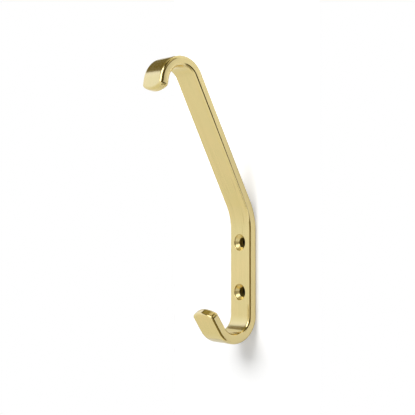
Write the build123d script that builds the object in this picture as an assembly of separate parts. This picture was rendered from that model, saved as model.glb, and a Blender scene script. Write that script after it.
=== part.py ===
from build123d import *
from math import sqrt
import os

# Hat hook: one length of polished brass flat bar, bent into a hat curl at the top, a leaning arm,
# a straight back plate with two countersunk screw holes, and a coat hook at the foot.
# Sizes are in millimetres. X runs across the bar, the wall is the plane Y = 0, and the hook stands
# out from it towards -Y. Z is up. The origin is on the wall face, halfway between the screw holes.

# The bar: its edges are rolled over all round, and each end is an arc with two rounded corners
bar_width = 15.0
bar_thickness = 5.0
edge_radius = 1.5
end_arc_radius = 14.0
end_corner_radius = 2.0

# The back plate and its two screw holes
hole_spacing = 25.0
plate_above_upper_hole = 6.0
plate_below_lower_hole = 11.5
screw_hole_diameter = 5.0
countersink_diameter = 8.4
countersink_angle = 90.0

# The arm, which leans out from the wall above a wide bend
arm_bend_radius = 27.5
arm_lean_angle = 27.5
arm_length = 69.0

# The hat curl at the top of the arm
curl_inner_radius = 8.0
curl_turn_angle = 142.0
curl_tip_length = 6.1

# The coat hook below the plate
foot_inner_radius = 8.5
foot_turn_angle = 146.5
foot_tip_length = 11.4

# A rounding is never larger than the metal that it is cut from, an end's arc spans the whole bar,
# and its corners leave room for the rolled edge that runs round them
rolled_edge = min(edge_radius, 0.45 * bar_thickness)
end_arc = max(end_arc_radius, 0.6 * bar_width)
end_arc_rise = end_arc - sqrt(end_arc**2 - (bar_width / 2) ** 2)
end_corner = max(min(end_corner_radius, 0.3 * bar_width), 1.2 * rolled_edge)

upper_hole_height = hole_spacing / 2
lower_hole_height = -hole_spacing / 2


def straight(start, heading, length):
    """A straight run that carries on in the heading of the bend before it."""
    return Line(start, start + heading * length)


def front_line():
    """The bar's front face seen from the side, as one line up from the foot's tip to the curl's tip.

    Across the page is Y and up the page is Z. Each bend closes in on this face, so its radius
    is the one that a finger would feel inside the bend. The plate is drawn upwards and comes
    first in the list, which sets the line's direction.
    """
    front = -bar_thickness
    plate_top = Vector(front, upper_hole_height + plate_above_upper_hole)
    plate_bottom = Vector(front, lower_hole_height - plate_below_lower_hole)
    plate = Line(plate_bottom, plate_top)
    arm_bend = JernArc(plate_top, Vector(0, 1), arm_bend_radius, arm_lean_angle)
    arm = straight(arm_bend @ 1, arm_bend % 1, arm_length)
    curl = JernArc(arm @ 1, arm % 1, curl_inner_radius, curl_turn_angle)
    curl_tip = straight(curl @ 1, curl % 1, curl_tip_length)
    foot = JernArc(plate_bottom, Vector(0, -1), foot_inner_radius, -foot_turn_angle)
    foot_tip = straight(foot @ 1, foot % 1, foot_tip_length)
    return Wire([plate, arm_bend, arm, curl, curl_tip, foot, foot_tip])


def bent_bar(line):
    """The bar with square edges: its side view, drawn out to both sides by half the width.

    The wall lies on the right of the line, so the metal is added on that side.
    """
    side_view = Face(line.offset_2d(bar_thickness, side=Side.RIGHT, closed=True))
    return extrude(Plane.YZ * side_view, bar_width / 2, both=True)


def end_plane(line, end):
    """The plane through the middle of the metal at one end: 0 is the foot's end, 1 is the curl's.

    Its X runs across the bar and its Y runs out of the end.
    """
    heading = line % end
    towards_back = Vector(heading.Y, -heading.X)
    middle = Plane.YZ.from_local_coords(line @ end + towards_back * bar_thickness / 2)
    out_of_end = Vector(0, heading.X, heading.Y) * (1 if end == 1 else -1)
    across = Vector(1, 0, 0)
    return Plane(origin=middle, x_dir=across, z_dir=across.cross(out_of_end))


def round_end(bar, plane):
    """Cuts one end to an arc that spans the bar, then rounds the two corners of the arc."""
    beyond_arc = Rectangle(2 * bar_width, 4 * end_arc_rise) - Pos(0, -end_arc) * Circle(end_arc)
    bar -= extrude(plane * beyond_arc, bar_thickness, both=True)
    through_metal = Axis(plane.origin, plane.z_dir)
    corners = bar.edges().filter_by(through_metal).sort_by_distance(plane.origin)[:2]
    return fillet(corners, end_corner)


def roll_edges(bar):
    """Rolls over the whole rim of the front face and of the back face.

    The plate's upright edges are each one stretch of a rim, and the rounding runs on from them
    round every bend, corner and end.
    """
    return fillet(bar.edges().filter_by(Axis.Z), rolled_edge)


def screw_hole(height):
    """A countersunk hole right through the plate, with its wide mouth on the front face."""
    mouth = Plane(origin=(0, -bar_thickness, height), x_dir=(1, 0, 0), z_dir=(0, -1, 0))
    return mouth * CounterSinkHole(
        screw_hole_diameter / 2, countersink_diameter / 2, 2 * bar_thickness, countersink_angle
    )


def hat_hook():
    line = front_line()
    hook = bent_bar(line)
    for end in (0, 1):
        hook = round_end(hook, end_plane(line, end))
    hook = roll_edges(hook)
    for height in (upper_hole_height, lower_hole_height):
        hook -= screw_hole(height)
    return hook


os.makedirs("parts", exist_ok=True)
export_step(hat_hook(), "parts/hook.step")
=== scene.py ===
import math

import bmesh
import bpy
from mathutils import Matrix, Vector


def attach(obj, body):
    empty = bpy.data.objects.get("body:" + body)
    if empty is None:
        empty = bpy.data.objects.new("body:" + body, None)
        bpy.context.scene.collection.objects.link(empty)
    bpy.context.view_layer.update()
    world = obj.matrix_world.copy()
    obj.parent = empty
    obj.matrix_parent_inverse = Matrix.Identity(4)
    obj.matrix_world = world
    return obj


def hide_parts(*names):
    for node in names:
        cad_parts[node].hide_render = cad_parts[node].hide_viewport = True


# A hat hook of polished brass flat bar: curl, leaning arm, wall plate with two countersunk screw
# holes, and coat hook at the foot. The bar is drawn out here as a smith would bend it, on the same
# bends as the solid, so that the polished faces reflect cleanly.
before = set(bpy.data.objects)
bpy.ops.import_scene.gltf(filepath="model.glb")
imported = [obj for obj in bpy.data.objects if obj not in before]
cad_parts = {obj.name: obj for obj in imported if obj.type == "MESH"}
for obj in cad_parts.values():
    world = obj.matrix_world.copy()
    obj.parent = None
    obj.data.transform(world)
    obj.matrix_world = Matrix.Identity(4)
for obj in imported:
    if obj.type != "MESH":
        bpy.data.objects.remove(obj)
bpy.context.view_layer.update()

MM = 0.001

# The flat bar.
BAR_WIDTH = 15.0 * MM
BAR_THICKNESS = 5.0 * MM
ROLLED_EDGE = 1.5 * MM

# Each end of the bar is cut to an arc across its width, with its two corners rounded.
END_ARC_RADIUS = 14.0 * MM
END_CORNER_RADIUS = 2.0 * MM
END_ARC_ANGLE = math.asin(BAR_WIDTH / 2 / END_ARC_RADIUS)
END_ARC_RISE = END_ARC_RADIUS * (1 - math.cos(END_ARC_ANGLE))

# The wall plate, which is straight between its two bends.
PLATE_TOP = 18.5 * MM
PLATE_FOOT = -24.0 * MM

# The arm's gentle bend, its straight run, and the curl that holds the hat.
ARM_BEND_RADIUS = 27.5 * MM
ARM_LEAN = math.radians(27.5)
ARM_LENGTH = 69.0 * MM
CURL_RADIUS = 8.0 * MM
CURL_TURN = math.radians(142.0)
CURL_TIP = 6.1 * MM

# The coat hook at the foot.
FOOT_RADIUS = 8.5 * MM
FOOT_TURN = math.radians(146.5)
FOOT_TIP = 11.4 * MM

# The screw holes. Above its cone each countersink has a short straight wall.
HOLE_HEIGHTS = (12.5 * MM, -12.5 * MM)
BORE_RADIUS = 2.5 * MM
COUNTERSINK_RADIUS = 4.0 * MM
COUNTERSINK_WALL = 0.6 * MM
HOLE_RIM = 0.35 * MM
DRILL_BEHIND_PLATE = 2.0 * MM
DRILL_IN_FRONT = 1.0 * MM

# How finely the bends, the ends, the rounded edges and the holes are stepped.
ARM_BEND_STEPS = 14
CURL_STEPS = 64
FOOT_STEPS = 66
END_ARC_STEPS = 6
CORNER_STEPS = 6
ROLL_STEPS = 10
RIM_STEPS = 4
HOLE_SIDES = 96

# How near two places are when they count as the same: when faces and edges are picked, when an
# end's corners are picked, and when points are merged.
HAIR = 0.01 * MM
CORNER_REACH = 0.2 * MM
MERGE_DISTANCE = 0.001 * MM

# An edge longer than this can run across a broad face, and a face points along an axis when its
# normal's share of that axis is larger than this.
LEAST_ACROSS = 1.0 * MM
POINTS_ALONG = 0.9

# Two faces that meet at less than the first angle are one flat face, at less than the second they
# are shaded as one, and at more than the third they make a sharp rim.
FLAT_BELOW = math.radians(0.5)
SMOOTH_BELOW = math.radians(32)
SHARP_ABOVE = math.radians(60)

# The colours of the polished brass, and of the drilled brass at its mouth; the bore's colour is
# painted shade, darker down in the bore.
BRASS_PALE = (0.775, 0.653, 0.296, 1)
BRASS_WARM = (0.845, 0.673, 0.312, 1)
BRASS_STREAK = (0.73, 0.60, 0.255, 1)
BRASS_RUBBED = (0.83, 0.69, 0.335, 1)
BRASS_SCRATCH = (0.60, 0.46, 0.19, 1)
BRASS_TURNED = (0.84, 0.71, 0.35, 1)
BRASS_PAINTED_BORE_SHADE = (0.68, 0.56, 0.20, 1)
TURNING_PITCH = 0.22 * MM
FINE_RELIEF = 0.01 * MM

# How far the rubbed edge wanders, how much smoother rubbing leaves it, and how much rougher the
# bore is than its mouth.
RUB_WANDER = 1.2 * MM
RUBBED_SMOOTHER = -0.035
BORE_ROUGHER = 0.25

# The stage: a wall board just behind the plate, and a floor far below, at the board's foot.
WALL_GAP = 0.3 * MM
WALL_LEFT, WALL_RIGHT, WALL_TOP = -0.060, 0.050, 0.32
PAINTED_SHADE_BEHIND_HOLE = (0.032, 0.026, 0.012, 1)
FLOOR_HEIGHT = -0.60
FLOOR_MIDDLE = (0, -0.5, FLOOR_HEIGHT)
FLOOR_SIZE = (3.0, 3.0)
FLOOR_WORN = (0.72, 0.72, 0.71, 1)
FLOOR_CLEAN = (0.77, 0.77, 0.765, 1)
FLOOR_LIFT = 0.68
WHITE = (1, 1, 1, 1)

# The lit screen to the left and the dark card low on the right. A shade is half of the light's
# level, at its share of the way from the foot to the top.
SCREEN_LOW, SCREEN_HIGH = -0.42, 0.51
SCREEN_MIDDLE = (-0.65, -0.37, (SCREEN_LOW + SCREEN_HIGH) / 2)
SCREEN_SIZE = (1.12, SCREEN_HIGH - SCREEN_LOW)
SCREEN_STRENGTH = 2.0
SCREEN_SHADES = (
    (0.0, (0.42, 0.42, 0.42)),
    (0.12, (0.435, 0.435, 0.435)),
    (0.45, (0.47, 0.48, 0.51)),
    (0.75, (0.50, 0.53, 0.62)),
    (1.0, (0.54, 0.575, 0.76)),
)
CARD_LOW, CARD_HIGH = -0.42, -0.08
CARD_MIDDLE = (0.16, -0.02, (CARD_LOW + CARD_HIGH) / 2)
CARD_SIZE = (0.26, CARD_HIGH - CARD_LOW)
CARD_SHADES = ((0.0, (0.11, 0.09, 0.04)), (1.0, (0.11, 0.09, 0.04)))

# The studio that the brass reflects. Each area has its name, its left, right, low and high edges in
# degrees, the softness of its edges, and its colour. A later area covers an earlier one.
STUDIO_PALE = (0.93, 0.93, 0.93, 1)
STUDIO_AREAS = (
    ("lower_half", -200, 200, -95, -24, 8, (0.85, 0.84, 0.77, 1)),
    ("dim_ceiling", -200, -24, 24, 100, 3, (0.185, 0.152, 0.058, 1)),
    ("high_ceiling", -200, -24, 46, 100, 5, (0.34, 0.29, 0.12, 1)),
    ("ceiling_in_front", -30, 108, 58, 100, 3, (0.11, 0.09, 0.035, 1)),
    ("camera_side", 32, 124.5, -13, 60, 2, (0.11, 0.09, 0.035, 1)),
    ("level_with_camera", 30, 88, -13, 5, 3, (0.23, 0.19, 0.085, 1)),
    ("beside_the_wall", 93, 124.5, -37, -8, 3, (0.12, 0.10, 0.04, 1)),
    ("right_of_the_wall", 90, 125.5, -20, 20, 3, (0.05, 0.04, 0.015, 1)),
    ("right_of_camera", 91, 126, 27, 85, 3, (0.60, 0.55, 0.38, 1)),
    ("overhead", -200, 10, 73, 100, 4, (0.74, 0.71, 0.60, 1)),
)
PLAIN_LIGHT = 0.25

# The lamps stand round this point, at this distance.
LAMP_AIM = Vector((0, -0.03, 0.03))
LAMP_DISTANCE = 0.9

# The photograph's viewpoint.
CAMERA_AZIMUTH = math.radians(50.298)
CAMERA_ELEVATION = math.radians(-0.774)
CAMERA_TARGET = Vector((4.828, -30.0, 29.882)) * MM
CAMERA_DISTANCE = 472.403 * MM
CAMERA_LENS = 84.569


def only(piece):
    """Selects one piece and nothing else."""
    bpy.ops.object.select_all(action="DESELECT")
    piece.select_set(True)
    bpy.context.view_layer.objects.active = piece


def pick(piece, kind, wanted):
    """Selects the parts of one kind, FACE or EDGE, for which wanted(part) is true, in edit mode."""
    bpy.ops.mesh.select_mode(type=kind)
    bpy.ops.mesh.select_all(action="DESELECT")
    mesh = bmesh.from_edit_mesh(piece.data)
    parts = mesh.faces if kind == "FACE" else mesh.edges
    for part in parts:
        if wanted(part):
            part.select_set(True)
    bmesh.update_edit_mesh(piece.data)


def bar_direction(turn):
    """The way the bar runs after it has turned from straight up, out from the wall."""
    return Vector((0, -math.sin(turn), math.cos(turn)))


def bend_centres():
    """The centres of the arm's bend, the curl and the coat hook, in the bar's middle plane."""
    arm_bend = Vector((0, -BAR_THICKNESS - ARM_BEND_RADIUS, PLATE_TOP))
    to_front = bar_direction(ARM_LEAN + math.pi / 2)
    arm_foot = arm_bend - to_front * ARM_BEND_RADIUS
    curl = arm_foot + bar_direction(ARM_LEAN) * ARM_LENGTH + to_front * CURL_RADIUS
    foot = Vector((0, -BAR_THICKNESS - FOOT_RADIUS, PLATE_FOOT))
    return arm_bend, curl, foot


def draw_out(direction, length):
    """Draws the picked end of the bar out, straight."""
    bpy.ops.mesh.extrude_region_move(TRANSFORM_OT_translate={"value": Vector(direction) * length})


def bend_end(centre, turn, steps):
    """Bends the picked end of the bar round a centre line that runs across the bar."""
    bpy.ops.mesh.spin(steps=steps, angle=-turn, center=centre, axis=(1, 0, 0))


def finish_end(direction, length):
    """Draws the picked end out to its full length, the last of it ever narrower, round an arc."""
    draw_out(direction, length - END_ARC_RISE)
    step_angle = END_ARC_ANGLE / (END_ARC_STEPS + 0.5)
    for step in range(END_ARC_STEPS):
        angle = END_ARC_ANGLE - step * step_angle
        next_angle = angle - step_angle
        draw_out(direction, END_ARC_RADIUS * (math.cos(next_angle) - math.cos(angle)))
        narrower = math.sin(next_angle) / math.sin(angle)
        bpy.ops.transform.resize(value=(narrower, 1, 1), center_override=(0, 0, 0))


def bent_bar():
    """The square-edged bar, from the wall plate up to the curl's end and down to the hook's end."""
    arm_bend_centre, curl_centre, foot_centre = bend_centres()
    bpy.ops.object.select_all(action="DESELECT")
    bpy.ops.mesh.primitive_cube_add(
        size=1,
        location=(0, -BAR_THICKNESS / 2, (PLATE_TOP + PLATE_FOOT) / 2),
        scale=(BAR_WIDTH, BAR_THICKNESS, PLATE_TOP - PLATE_FOOT),
    )
    bar = bpy.context.object
    bar.name = "brass_hook"
    bpy.ops.object.transform_apply(location=True, rotation=True, scale=True)
    bpy.ops.object.mode_set(mode="EDIT")

    pick(bar, "FACE", lambda face: face.normal.z > POINTS_ALONG)
    bend_end(arm_bend_centre, ARM_LEAN, ARM_BEND_STEPS)
    draw_out(bar_direction(ARM_LEAN), ARM_LENGTH)
    bend_end(curl_centre, CURL_TURN, CURL_STEPS)
    finish_end(bar_direction(ARM_LEAN + CURL_TURN), CURL_TIP)

    def plate_foot(face):
        return face.normal.z < -POINTS_ALONG and face.calc_center_median().y > -BAR_THICKNESS

    pick(bar, "FACE", plate_foot)
    bend_end(foot_centre, -FOOT_TURN, FOOT_STEPS)
    finish_end(-bar_direction(-FOOT_TURN), FOOT_TIP)

    bpy.ops.mesh.select_all(action="SELECT")
    bpy.ops.mesh.remove_doubles(threshold=MERGE_DISTANCE)
    bpy.ops.mesh.normals_make_consistent(inside=False)
    pick(bar, "EDGE", splits_broad_face)
    bpy.ops.mesh.dissolve_edges(use_verts=False)
    bpy.ops.object.mode_set(mode="OBJECT")
    return bar


def splits_broad_face(edge):
    """True for an edge that runs straight across a broad face and only splits it in two."""
    a, b = (v.co for v in edge.verts)
    across = abs(a.x + b.x) < HAIR and abs(a.x - b.x) > LEAST_ACROSS
    return across and edge.calc_face_angle(math.pi) < FLAT_BELOW


def end_corners():
    """The middle of each end's two corners, as they meet the bar's middle plane."""
    _, curl_centre, foot_centre = bend_centres()
    curl_out = -bar_direction(ARM_LEAN + CURL_TURN + math.pi / 2)
    curl_corners = (
        curl_centre
        + curl_out * (CURL_RADIUS + BAR_THICKNESS / 2)
        + bar_direction(ARM_LEAN + CURL_TURN) * (CURL_TIP - END_ARC_RISE)
    )
    foot_out = -bar_direction(math.pi / 2 - FOOT_TURN)
    foot_corners = (
        foot_centre
        + foot_out * (FOOT_RADIUS + BAR_THICKNESS / 2)
        - bar_direction(-FOOT_TURN) * (FOOT_TIP - END_ARC_RISE)
    )
    return curl_corners, foot_corners


def round_ends(bar):
    """Rounds the corners where the bar's straight sides meet the arcs of its ends."""
    places = end_corners()

    def at_corner(edge):
        a, b = (v.co for v in edge.verts)
        middle = (a + b) / 2
        on_side = abs(a.x - b.x) < HAIR and abs(abs(a.x) - BAR_WIDTH / 2) < HAIR
        middle.x = 0
        return on_side and any((middle - place).length < CORNER_REACH for place in places)

    only(bar)
    bpy.ops.object.mode_set(mode="EDIT")
    pick(bar, "EDGE", at_corner)
    along_side = END_CORNER_RADIUS * math.tan((math.pi / 2 - END_ARC_ANGLE) / 2)
    bpy.ops.mesh.bevel(
        offset=along_side, segments=CORNER_STEPS, affect="EDGES", clamp_overlap=False
    )
    bpy.ops.object.mode_set(mode="OBJECT")


def roll_edges(bar):
    """Rolls the rims of the bar's broad faces over, all the way round."""
    only(bar)
    bpy.ops.object.mode_set(mode="EDIT")
    bpy.ops.mesh.select_mode(type="EDGE")
    bpy.ops.mesh.select_all(action="DESELECT")
    bpy.ops.mesh.edges_select_sharp(sharpness=SHARP_ABOVE)
    bpy.ops.mesh.bevel(offset=ROLLED_EDGE, segments=ROLL_STEPS, affect="EDGES", clamp_overlap=False)
    bpy.ops.object.mode_set(mode="OBJECT")


def hole_cutter(height):
    """A rod as wide as the bore, whose front end is drawn out, widened and drawn out again."""
    depth_of_cone = COUNTERSINK_RADIUS - BORE_RADIUS
    cone_front = -BAR_THICKNESS + COUNTERSINK_WALL
    bore_front = cone_front + depth_of_cone
    bpy.ops.object.select_all(action="DESELECT")
    bpy.ops.mesh.primitive_cylinder_add(
        vertices=HOLE_SIDES,
        radius=BORE_RADIUS,
        depth=DRILL_BEHIND_PLATE - bore_front,
        location=(0, (bore_front + DRILL_BEHIND_PLATE) / 2, height),
        rotation=(math.pi / 2, 0, 0),
    )
    cutter = bpy.context.object
    bpy.ops.object.transform_apply(location=True, rotation=True, scale=True)
    bpy.ops.object.mode_set(mode="EDIT")
    pick(cutter, "FACE", lambda face: face.normal.y < -POINTS_ALONG)
    wider = COUNTERSINK_RADIUS / BORE_RADIUS
    draw_out((0, -1, 0), depth_of_cone)
    bpy.ops.transform.resize(value=(wider, 1, wider), center_override=(0, cone_front, height))
    draw_out((0, -1, 0), COUNTERSINK_WALL + DRILL_IN_FRONT)
    bpy.ops.object.mode_set(mode="OBJECT")
    return cutter


def drill(bar, height):
    """Cuts one countersunk screw hole."""
    cutter = hole_cutter(height)
    only(bar)
    cut = bar.modifiers.new("screw_hole", "BOOLEAN")
    cut.operation = "DIFFERENCE"
    cut.solver = "EXACT"
    cut.object = cutter
    bpy.ops.object.modifier_apply(modifier=cut.name)
    bpy.data.objects.remove(cutter)


def from_hole_axis(point):
    """How far a point is from the axis of the nearer screw hole."""
    return min(math.hypot(point.x, point.z - height) for height in HOLE_HEIGHTS)


def soften_hole_rims(bar):
    """Takes the sharp edge off the mouths of the screw holes, front and back."""
    mouths = ((-BAR_THICKNESS, COUNTERSINK_RADIUS), (0.0, BORE_RADIUS))

    def on_rim(edge):
        return any(
            all(
                abs(v.co.y - depth) < HAIR and abs(from_hole_axis(v.co) - radius) < 2 * HAIR
                for v in edge.verts
            )
            for depth, radius in mouths
        )

    only(bar)
    bpy.ops.object.mode_set(mode="EDIT")
    pick(bar, "EDGE", on_rim)
    bpy.ops.mesh.bevel(offset=HOLE_RIM, segments=RIM_STEPS, affect="EDGES", clamp_overlap=False)
    bpy.ops.object.mode_set(mode="OBJECT")


def give_finishes(bar, polished, turned):
    """Polished brass all over, and the drill's turned finish inside the screw holes."""

    def inside_hole(face):
        middle = face.calc_center_median()
        front, back = -BAR_THICKNESS + HOLE_RIM, -HOLE_RIM
        return from_hole_axis(middle) < COUNTERSINK_RADIUS + HAIR and front < middle.y < back

    bar.data.materials.clear()
    bar.data.materials.append(polished)
    bar.data.materials.append(turned)
    only(bar)
    bpy.ops.object.mode_set(mode="EDIT")
    pick(bar, "FACE", inside_hole)
    bar.active_material_index = 1
    bpy.ops.object.material_slot_assign()
    bpy.ops.object.mode_set(mode="OBJECT")


def polish_shading(bar):
    """Smooth shading that keeps the broad faces flat and turns only over the rolled edges."""
    only(bar)
    bpy.ops.object.shade_smooth_by_angle(angle=SMOOTH_BELOW)
    weighted = bar.modifiers.new("even_faces", "WEIGHTED_NORMAL")
    weighted.mode = "FACE_AREA"
    weighted.weight = 50
    weighted.keep_sharp = True
    bpy.ops.object.modifier_apply(modifier=weighted.name)


def feed(tree, socket, value):
    """Links another node's output into a socket, or writes a plain number or colour there."""
    if isinstance(value, bpy.types.NodeSocket):
        tree.links.new(value, socket)
    else:
        socket.default_value = value


def add_node(tree, kind, place, **values):
    """One shader node; each value sets the property of that name, or else feeds that input."""
    node = tree.nodes.new(kind)
    node.location = place
    for name, value in values.items():
        if hasattr(node, name):
            setattr(node, name, value)
        else:
            feed(tree, node.inputs[name.replace("_", " ")], value)
    return node


def result(tree, kind, place, *values, **settings):
    """The first output of one node, whose inputs are fed in their order."""
    node = add_node(tree, kind, place, **settings)
    for socket, value in zip(node.inputs, values):
        feed(tree, socket, value)
    return node.outputs[0]


def reckon(tree, place, operation, *values, **settings):
    """The result of one sum."""
    return result(tree, "ShaderNodeMath", place, *values, operation=operation, **settings)


def spread(tree, place, value, **ends):
    """A value moved from one range to another; an end that isn't given is nought or one."""
    return add_node(tree, "ShaderNodeMapRange", place, Value=value, **ends).outputs["Result"]


def blend(tree, place, share, first, second):
    """The first colour, which turns into the second as the share goes from nought to one."""
    node = add_node(
        tree, "ShaderNodeMix", place, data_type="RGBA", Factor=share, A=first, B=second
    )
    return node.outputs["Result"]


def object_point(tree):
    """The point on the piece, in metres."""
    return add_node(tree, "ShaderNodeTexCoord", (-1400, 0)).outputs["Object"]


def new_group(name, inputs, outputs):
    """An empty shader node group; its inputs and outputs are numbers."""
    group = bpy.data.node_groups.new(name, "ShaderNodeTree")
    for label, value in inputs.items():
        socket = group.interface.new_socket(label, in_out="INPUT", socket_type="NodeSocketFloat")
        socket.default_value = value
    for label in outputs:
        group.interface.new_socket(label, in_out="OUTPUT", socket_type="NodeSocketFloat")
    first = add_node(group, "NodeGroupInput", (-1200, 0))
    last = add_node(group, "NodeGroupOutput", (900, 0))
    return group, first, last


def cloudy_metal_group():
    """Soft clouds over the metal, from nothing to one, for its colour and its polish."""
    group, first, last = new_group("cloudy_metal", {"Size": 90.0, "Contrast": 1.0}, ("Clouds",))
    noise = add_node(
        group,
        "ShaderNodeTexNoise",
        (-700, 100),
        Vector=object_point(group),
        Scale=first.outputs["Size"],
        Detail=3.0,
        Roughness=0.55,
    )
    centred = reckon(group, (-450, 100), "SUBTRACT", noise.outputs["Fac"], 0.5)
    stronger = reckon(group, (-250, 100), "MULTIPLY", centred, first.outputs["Contrast"])
    clouds = reckon(group, (-50, 100), "ADD", stronger, 0.5, use_clamp=True)
    feed(group, last.inputs["Clouds"], clouds)
    return group


def polishing_lines_group():
    """Very fine lines that the polishing wheel leaves along the bar, and a few stray scratches."""
    group, first, last = new_group(
        "polishing_lines",
        {"Lines per Metre": 5200.0, "Length": 0.03, "Scratches": 0.5},
        ("Lines", "Scratch"),
    )
    point = object_point(group)
    length = first.outputs["Length"]
    stretch = add_node(group, "ShaderNodeCombineXYZ", (-800, 0), X=1.0, Y=length, Z=length)
    drawn = result(
        group, "ShaderNodeVectorMath", (-600, 200), point, stretch.outputs[0], operation="MULTIPLY"
    )
    lines = add_node(
        group,
        "ShaderNodeTexNoise",
        (-350, 250),
        Vector=drawn,
        Scale=first.outputs["Lines per Metre"],
        Detail=4.0,
        Roughness=0.7,
    )
    feed(group, last.inputs["Lines"], lines.outputs["Fac"])
    askew = add_node(
        group,
        "ShaderNodeMapping",
        (-600, -150),
        Vector=point,
        Rotation=(0.25, 0.1, 0.35),
        Scale=(1.0, 0.06, 0.06),
    )
    stray = add_node(
        group, "ShaderNodeTexNoise", (-350, -150), Vector=askew.outputs[0], Scale=900.0, Detail=2.0
    )
    few = spread(group, (-100, -150), stray.outputs["Fac"], From_Min=0.66, From_Max=0.74)
    faint = reckon(group, (150, -150), "MULTIPLY", few, first.outputs["Scratches"])
    feed(group, last.inputs["Scratch"], faint)
    return group


def rubbed_edge_group():
    """One on the rolled edges, which hands and cloths rub brightest, and nothing between them."""
    group, first, last = new_group("rubbed_edge", {"From": 5.8 * MM, "To": 7.2 * MM}, ("Rubbed",))
    point = object_point(group)
    split = add_node(group, "ShaderNodeSeparateXYZ", (-1000, 200), Vector=point)
    side = reckon(group, (-600, 200), "ABSOLUTE", split.outputs["X"])
    noise = add_node(
        group, "ShaderNodeTexNoise", (-800, -150), Vector=point, Scale=260.0, Detail=2.0
    )
    uneven = reckon(
        group, (-600, -150), "MULTIPLY_ADD", noise.outputs["Fac"], RUB_WANDER, -RUB_WANDER / 2
    )
    rubbed = spread(
        group,
        (-150, 100),
        reckon(group, (-400, 100), "ADD", side, uneven),
        interpolation_type="SMOOTHSTEP",
        From_Min=first.outputs["From"],
        From_Max=first.outputs["To"],
    )
    feed(group, last.inputs["Rubbed"], rubbed)
    return group


def hole_distance_group():
    """The distance from the nearer screw hole's axis, and the depth behind the front face."""
    group, first, last = new_group(
        "screw_hole_distance", {"Hole Height": HOLE_HEIGHTS[0]}, ("Distance", "Depth")
    )
    split = add_node(group, "ShaderNodeSeparateXYZ", (-1000, 200), Vector=object_point(group))
    rise = reckon(group, (-600, 100), "ABSOLUTE", split.outputs["Z"])
    nearer = reckon(group, (-400, 100), "SUBTRACT", rise, first.outputs["Hole Height"])
    flat = add_node(group, "ShaderNodeCombineXYZ", (-200, 150), X=split.outputs["X"], Z=nearer)
    distance = add_node(group, "ShaderNodeVectorMath", (0, 150), operation="LENGTH")
    feed(group, distance.inputs[0], flat.outputs[0])
    feed(group, last.inputs["Distance"], distance.outputs["Value"])
    depth = reckon(group, (0, -100), "ADD", split.outputs["Y"], BAR_THICKNESS)
    feed(group, last.inputs["Depth"], depth)
    return group


def new_brass(name):
    """A metal with only its plain shader."""
    material = bpy.data.materials.new(name)
    material.use_nodes = True
    tree = material.node_tree
    shader = tree.nodes["Principled BSDF"]
    shader.inputs["Metallic"].default_value = 1.0
    return material, tree, shader


def polished_brass(clouds, lines, rubbed):
    """Yellow brass, polished bright: clouded, finely lined along the bar, rubbed at its edges."""
    material, tree, shader = new_brass("polished_brass")
    kind = "ShaderNodeGroup"
    tone = add_node(tree, kind, (-1100, 400), node_tree=clouds, Size=70.0, Contrast=2.2)
    haze = add_node(tree, kind, (-1100, 150), node_tree=clouds, Size=240.0, Contrast=1.4)
    wheel = add_node(tree, kind, (-1100, -150), node_tree=lines)
    edge = add_node(tree, kind, (-1100, -450), node_tree=rubbed)
    streaks = add_node(
        tree, kind, (-1400, 600), node_tree=lines, Lines_per_Metre=900.0, Length=0.02
    )

    colour = blend(tree, (-800, 400), tone.outputs["Clouds"], BRASS_PALE, BRASS_WARM)
    streaky = spread(
        tree, (-1100, 650), streaks.outputs["Lines"], From_Min=0.38, From_Max=0.62, To_Max=0.45
    )
    colour = blend(tree, (-680, 600), streaky, colour, BRASS_STREAK)
    colour = blend(tree, (-550, 400), edge.outputs["Rubbed"], colour, BRASS_RUBBED)
    colour = blend(tree, (-300, 400), wheel.outputs["Scratch"], colour, BRASS_SCRATCH)
    feed(tree, shader.inputs["Base Color"], colour)

    hazy = spread(tree, (-800, 100), haze.outputs["Clouds"], To_Min=0.11, To_Max=0.175)
    lined = spread(
        tree,
        (-800, -150),
        wheel.outputs["Lines"],
        From_Min=0.3,
        From_Max=0.7,
        To_Min=-0.02,
        To_Max=0.02,
    )
    both = reckon(tree, (-550, 50), "ADD", hazy, lined)
    smoother = reckon(tree, (-550, -150), "MULTIPLY", edge.outputs["Rubbed"], RUBBED_SMOOTHER)
    feed(tree, shader.inputs["Roughness"], reckon(tree, (-300, 0), "ADD", both, smoother))

    relief = reckon(
        tree, (-550, -400), "SUBTRACT", wheel.outputs["Lines"], wheel.outputs["Scratch"]
    )
    bump = add_node(
        tree, "ShaderNodeBump", (-250, -300), Strength=0.10, Distance=FINE_RELIEF, Height=relief
    )
    feed(tree, shader.inputs["Normal"], bump.outputs["Normal"])
    return material


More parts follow.
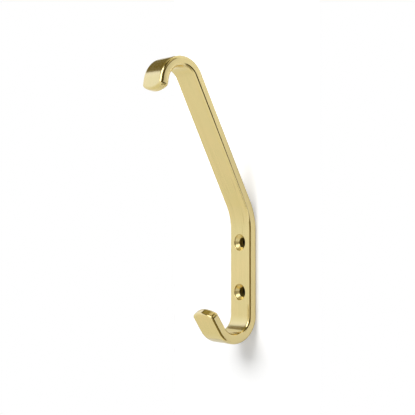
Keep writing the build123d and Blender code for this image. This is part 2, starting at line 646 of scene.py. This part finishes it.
def turned_brass(clouds, distance):
    """Brass as the drill left it: rougher, with rings round the hole, and painted shade down in the
    bore.
    """
    material, tree, shader = new_brass("turned_brass")
    hole = add_node(tree, "ShaderNodeGroup", (-1100, 200), node_tree=distance)
    haze = add_node(
        tree, "ShaderNodeGroup", (-1100, -100), node_tree=clouds, Size=500.0, Contrast=1.5
    )
    # Deeper in the bore the brass grows rougher and darker; the darker colour is painted shade.
    painted_shade_and_roughness = spread(
        tree, (-800, 300), hole.outputs["Depth"], From_Min=1.9 * MM, From_Max=3.2 * MM
    )
    colour = blend(tree, (-500, 300), painted_shade_and_roughness, BRASS_TURNED, BRASS_PAINTED_BORE_SHADE)
    feed(tree, shader.inputs["Base Color"], colour)

    hazy = spread(tree, (-800, 0), haze.outputs["Clouds"], To_Min=0.25, To_Max=0.36)
    rough = reckon(tree, (-500, 50), "MULTIPLY_ADD", painted_shade_and_roughness, BORE_ROUGHER, hazy)
    feed(tree, shader.inputs["Roughness"], rough)

    across = reckon(tree, (-800, -300), "ADD", hole.outputs["Distance"], hole.outputs["Depth"])
    turns = reckon(tree, (-600, -300), "MULTIPLY", across, 2 * math.pi / TURNING_PITCH)
    rings = reckon(tree, (-400, -300), "SINE", turns)
    bump = add_node(
        tree, "ShaderNodeBump", (-200, -300), Strength=0.25, Distance=FINE_RELIEF, Height=rings
    )
    feed(tree, shader.inputs["Normal"], bump.outputs["Normal"])
    return material


def bare_material(name):
    """A material with nothing in it."""
    material = bpy.data.materials.new(name)
    material.use_nodes = True
    material.node_tree.nodes.clear()
    return material, material.node_tree


def wall_material(distance):
    """A pale matt wall with two dark discs of painted shade behind the hook's screw holes.

    It is seen only from its front, so that it never hides the hook's back, and the brass doesn't
    mirror it across the thin gap behind the plate.
    """
    material, tree = bare_material("pale_wall")
    rays = add_node(tree, "ShaderNodeLightPath", (-1400, -300))
    side = add_node(tree, "ShaderNodeNewGeometry", (250, 300))
    split = add_node(tree, "ShaderNodeSeparateXYZ", (-900, -100), Vector=object_point(tree))
    hole = add_node(tree, "ShaderNodeGroup", (-1200, 300), node_tree=distance)
    # Nought on the two discs of painted shade behind the screw holes and one beyond them; the
    # camera's lift is left off the discs too.
    off_hole_shade = spread(
        tree, (-900, 300), hole.outputs["Distance"], From_Min=3.4 * MM, From_Max=3.8 * MM
    )

    pale = spread(tree, (-900, 100), rays.outputs["Is Camera Ray"], To_Min=0.75, To_Max=0.69)
    paint = blend(tree, (-650, 300), off_hole_shade, PAINTED_SHADE_BEHIND_HOLE, pale)
    matt = add_node(tree, "ShaderNodeBsdfDiffuse", (0, 0), Color=paint)

    # The camera sees the wall whiter above the plate: painted light, graded by height, washes the
    # hook's shadow there faint.
    painted_wash_level = spread(
        tree,
        (-650, -50),
        split.outputs["Z"],
        interpolation_type="SMOOTHSTEP",
        From_Min=12 * MM,
        From_Max=52 * MM,
        To_Min=0.36,
        To_Max=0.68,
    )
    seen = reckon(tree, (-450, 0), "MULTIPLY", rays.outputs["Is Camera Ray"], off_hole_shade)
    lift_level = reckon(tree, (-200, -150), "MULTIPLY", seen, painted_wash_level)
    lift = add_node(tree, "ShaderNodeEmission", (0, -150), Color=WHITE, Strength=lift_level)
    lifted = result(tree, "ShaderNodeAddShader", (250, 0), matt.outputs[0], lift.outputs[0])

    close = reckon(tree, (-200, -400), "LESS_THAN", rays.outputs["Ray Length"], 3 * WALL_GAP)
    close_gloss = reckon(tree, (50, -400), "MULTIPLY", close, rays.outputs["Is Glossy Ray"])
    behind_plate = reckon(tree, (250, -400), "MULTIPLY", close_gloss, off_hole_shade)
    hidden = reckon(tree, (480, 200), "MAXIMUM", side.outputs["Backfacing"], behind_plate)
    clear = add_node(tree, "ShaderNodeBsdfTransparent", (250, -150))
    shown = result(tree, "ShaderNodeMixShader", (700, 0), hidden, lifted, clear.outputs[0])
    add_node(tree, "ShaderNodeOutputMaterial", (900, 0), Surface=shown)
    return material


def floor_material():
    """A pale matt floor far below the hook, which the camera sees nearly white."""
    material, tree = bare_material("pale_floor")
    worn = add_node(
        tree, "ShaderNodeTexNoise", (-400, 100), Vector=object_point(tree), Scale=6.0, Detail=3.0
    )
    paint = blend(tree, (-150, 100), worn.outputs["Fac"], FLOOR_WORN, FLOOR_CLEAN)
    matt = add_node(tree, "ShaderNodeBsdfDiffuse", (100, 100), Color=paint)
    rays = add_node(tree, "ShaderNodeLightPath", (-400, -200))
    lift_level = reckon(tree, (-150, -150), "MULTIPLY", rays.outputs["Is Camera Ray"], FLOOR_LIFT)
    lift = add_node(tree, "ShaderNodeEmission", (100, -100), Color=WHITE, Strength=lift_level)
    lifted = result(tree, "ShaderNodeAddShader", (350, 0), matt.outputs[0], lift.outputs[0])
    add_node(tree, "ShaderNodeOutputMaterial", (600, 0), Surface=lifted)
    return material


def screen_material(name, shades, low, high):
    """A screen that gives off light, graded from its foot to its top."""
    material, tree = bare_material(name)
    split = add_node(tree, "ShaderNodeSeparateXYZ", (-700, 0), Vector=object_point(tree))
    rise = spread(tree, (-500, 0), split.outputs["Z"], From_Min=low, From_Max=high)
    ramp = add_node(tree, "ShaderNodeValToRGB", (-300, 0), Fac=rise)
    ramp.color_ramp.elements.remove(ramp.color_ramp.elements[1])
    ramp.color_ramp.elements[0].position = shades[0][0]
    ramp.color_ramp.elements[0].color = (*shades[0][1], 1)
    for share, colour in shades[1:]:
        ramp.color_ramp.elements.new(share).color = (*colour, 1)
    glow = add_node(
        tree, "ShaderNodeEmission", (0, 0), Color=ramp.outputs["Color"], Strength=SCREEN_STRENGTH
    )
    add_node(tree, "ShaderNodeOutputMaterial", (300, 0), Surface=glow.outputs[0])
    return material


def stage_plane(name, middle, size, rotation, material):
    """One flat piece of the stage, which faces the hook."""
    bpy.ops.object.select_all(action="DESELECT")
    bpy.ops.mesh.primitive_plane_add(size=1, location=middle, rotation=rotation)
    plane = bpy.context.object
    plane.name = name
    plane.scale = (*size, 1)
    bpy.ops.object.transform_apply(location=True, rotation=True, scale=True)
    plane.data.materials.append(material)
    return plane


def only_reflected(piece):
    """Keeps a screen out of the picture and out of the shadows; only the brass reflects it."""
    piece.visible_camera = False
    piece.visible_diffuse = False
    piece.visible_shadow = False


def wall_floor_and_screens(distance):
    """The white board that the hook hangs on, a pale floor, a lit screen and a dark card."""
    upright = math.pi / 2
    stage_plane(
        "wall_board",
        ((WALL_LEFT + WALL_RIGHT) / 2, WALL_GAP, (FLOOR_HEIGHT + WALL_TOP) / 2),
        (WALL_RIGHT - WALL_LEFT, WALL_TOP - FLOOR_HEIGHT),
        (upright, 0, 0),
        wall_material(distance),
    )
    floor = stage_plane("floor", FLOOR_MIDDLE, FLOOR_SIZE, (0, 0, 0), floor_material())
    floor.visible_glossy = False
    screen = stage_plane(
        "left_screen",
        SCREEN_MIDDLE,
        SCREEN_SIZE,
        (upright, 0, math.pi / 2),
        screen_material("lit_screen", SCREEN_SHADES, SCREEN_LOW, SCREEN_HIGH),
    )
    only_reflected(screen)
    card = stage_plane(
        "dark_card",
        CARD_MIDDLE,
        CARD_SIZE,
        (upright, 0, -math.pi / 2),
        screen_material("dark_cloth", CARD_SHADES, CARD_LOW, CARD_HIGH),
    )
    only_reflected(card)


def sky_window():
    """One inside a window of the studio, whose edges are in degrees, and nothing outside it."""
    names = ("Azimuth", "Height", "Left", "Right", "Low", "High", "Softness")
    group, first, last = new_group("studio_window", dict.fromkeys(names, 0.0), ("Mask",))
    azimuth, height, left, right, low, high, softness = (first.outputs[name] for name in names)
    sides = []
    for row, (farther, nearer) in enumerate(
        ((azimuth, left), (right, azimuth), (height, low), (high, height))
    ):
        beyond = reckon(group, (-600, -180 * row), "SUBTRACT", farther, nearer)
        share = reckon(group, (-400, -180 * row), "DIVIDE", beyond, softness)
        inside = spread(
            group,
            (-200, -180 * row),
            share,
            interpolation_type="SMOOTHSTEP",
            From_Min=-1.0,
            From_Max=1.0,
        )
        sides.append(inside)
    mask = sides[0]
    for column, inside in enumerate(sides[1:]):
        mask = reckon(group, (250 + 150 * column, -100), "MULTIPLY", mask, inside)
    feed(group, last.inputs["Mask"], mask)
    return group


def studio_world():
    """The pale studio that the brass reflects, with its dim and dark areas."""
    world = bpy.data.worlds.new("pale_studio")
    bpy.context.scene.world = world
    world.use_nodes = True
    tree = world.node_tree
    tree.nodes.clear()
    towards = add_node(tree, "ShaderNodeTexCoord", (-1500, 0)).outputs["Generated"]
    split = add_node(tree, "ShaderNodeSeparateXYZ", (-1300, 0), Vector=towards)
    outwards = reckon(tree, (-1100, 100), "MULTIPLY", split.outputs["Y"], -1)
    turn = reckon(tree, (-900, 100), "ARCTAN2", split.outputs["X"], outwards)
    azimuth = reckon(tree, (-700, 100), "DEGREES", turn)
    rise = reckon(tree, (-900, -100), "ARCSINE", split.outputs["Z"])
    height = reckon(tree, (-700, -100), "DEGREES", rise)

    window = sky_window()
    colour = STUDIO_PALE
    for row, (name, left, right, low, high, softness, tint) in enumerate(STUDIO_AREAS):
        area = add_node(
            tree,
            "ShaderNodeGroup",
            (-450 + 260 * row, -250),
            node_tree=window,
            name=name,
            Azimuth=azimuth,
            Height=height,
            Left=left,
            Right=right,
            Low=low,
            High=high,
            Softness=softness,
        )
        colour = blend(tree, (-200 + 260 * row, 150), area.outputs["Mask"], colour, tint)

    right_end = 260 * len(STUDIO_AREAS)
    gloss = add_node(tree, "ShaderNodeBackground", (right_end, 100), Color=colour)
    plain = add_node(
        tree, "ShaderNodeBackground", (right_end, -50), Color=WHITE, Strength=PLAIN_LIGHT
    )
    white = add_node(tree, "ShaderNodeBackground", (right_end, -200), Color=WHITE)
    rays = add_node(tree, "ShaderNodeLightPath", (right_end, 500))
    lit = result(
        tree,
        "ShaderNodeMixShader",
        (right_end + 200, 0),
        rays.outputs["Is Glossy Ray"],
        plain.outputs[0],
        gloss.outputs[0],
    )
    shown = result(
        tree,
        "ShaderNodeMixShader",
        (right_end + 400, 0),
        rays.outputs["Is Camera Ray"],
        lit,
        white.outputs[0],
    )
    add_node(tree, "ShaderNodeOutputWorld", (right_end + 600, 0), Surface=shown)


def way_out(azimuth, height):
    """The direction at these angles, in radians; nought is level and straight out from the wall."""
    return Vector(
        (
            math.sin(azimuth) * math.cos(height),
            -math.cos(azimuth) * math.cos(height),
            math.sin(height),
        )
    )


def soft_lamp(name, azimuth, height, size, power):
    """A soft box in front of the wall, turned to the hook; its angles are in degrees."""
    towards = way_out(math.radians(azimuth), math.radians(height))
    bpy.ops.object.light_add(type="AREA", location=LAMP_AIM + towards * LAMP_DISTANCE)
    lamp = bpy.context.object
    lamp.name = name
    lamp.data.shape = "RECTANGLE"
    lamp.data.size, lamp.data.size_y = size
    lamp.data.energy = power
    lamp.visible_camera = False
    lamp.rotation_mode = "QUATERNION"
    lamp.rotation_quaternion = (-towards).to_track_quat("-Z", "Y")
    return lamp


def photo_camera():
    """The photograph's viewpoint, from the right of the hook and level with it."""
    back = way_out(CAMERA_AZIMUTH, CAMERA_ELEVATION)
    data = bpy.data.cameras.new("photo_camera")
    data.sensor_width = 36
    data.lens = CAMERA_LENS
    data.clip_start = 0.01
    data.clip_end = 20
    camera = bpy.data.objects.new("photo_camera", data)
    bpy.context.scene.collection.objects.link(camera)
    camera.location = CAMERA_TARGET + back * CAMERA_DISTANCE
    camera.rotation_mode = "QUATERNION"
    camera.rotation_quaternion = (-back).to_track_quat("-Z", "Y")
    bpy.context.scene.camera = camera


clouds, hole_distance = cloudy_metal_group(), hole_distance_group()
polished = polished_brass(clouds, polishing_lines_group(), rubbed_edge_group())
turned = turned_brass(clouds, hole_distance)

hook = bent_bar()
round_ends(hook)
roll_edges(hook)
for hole_height in HOLE_HEIGHTS:
    drill(hook, hole_height)
soften_hole_rims(hook)
give_finishes(hook, polished, turned)
polish_shading(hook)
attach(hook, "root")
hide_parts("hook")

wall_floor_and_screens(hole_distance)
studio_world()
soft_lamp("soft_box", azimuth=12, height=38, size=(0.80, 0.46), power=2.2)
wall_lamp = soft_lamp("wall_lamp", azimuth=-4, height=35, size=(0.70, 0.42), power=7.3)
wall_lamp.visible_glossy = False
photo_camera()
bpy.context.scene.view_settings.view_transform = "Standard"
